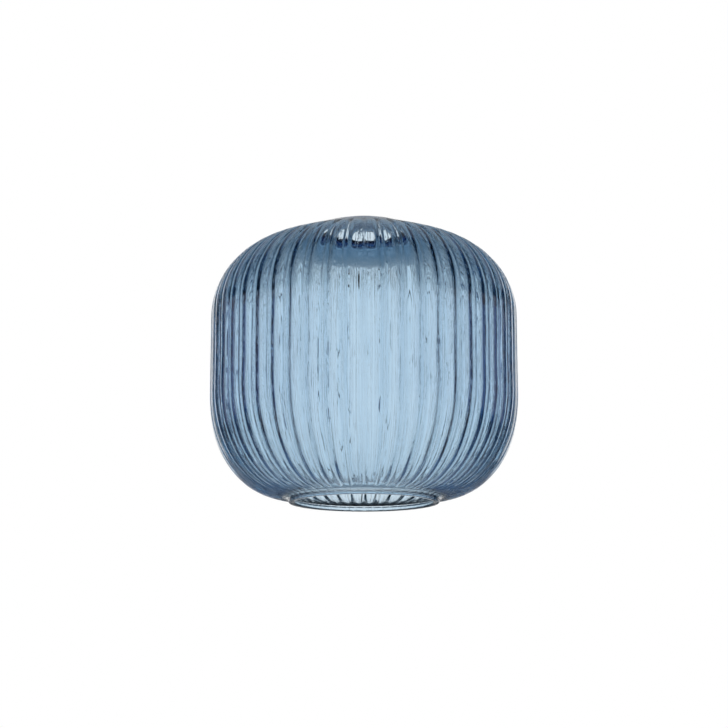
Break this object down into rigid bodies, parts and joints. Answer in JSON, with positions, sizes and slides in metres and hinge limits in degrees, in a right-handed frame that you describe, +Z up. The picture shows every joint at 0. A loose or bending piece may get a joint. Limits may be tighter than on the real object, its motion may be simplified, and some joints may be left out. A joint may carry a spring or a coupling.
{
  "type": "pendant lamp shade",
  "caption": "Ribbed blue glass shade, barrel-shaped, with a round fitter hole in its crown and a wide open mouth below.",
  "frame": {"origin": "centre of the bottom rim, on the plane that the rim rests on", "axes": "+Z up the axis of the shade, from the open mouth to the hole in the crown; a rib faces +X and a groove between two ribs faces -Y"},
  "size_m": [0.22, 0.22, 0.2006],
  "materials": {
    "blue_glass": "clear moulded glass, smooth and glossy"
  },
  "bodies": {
    "root": {"glass_shade": "blue_glass"}
  },
  "joints": []
}
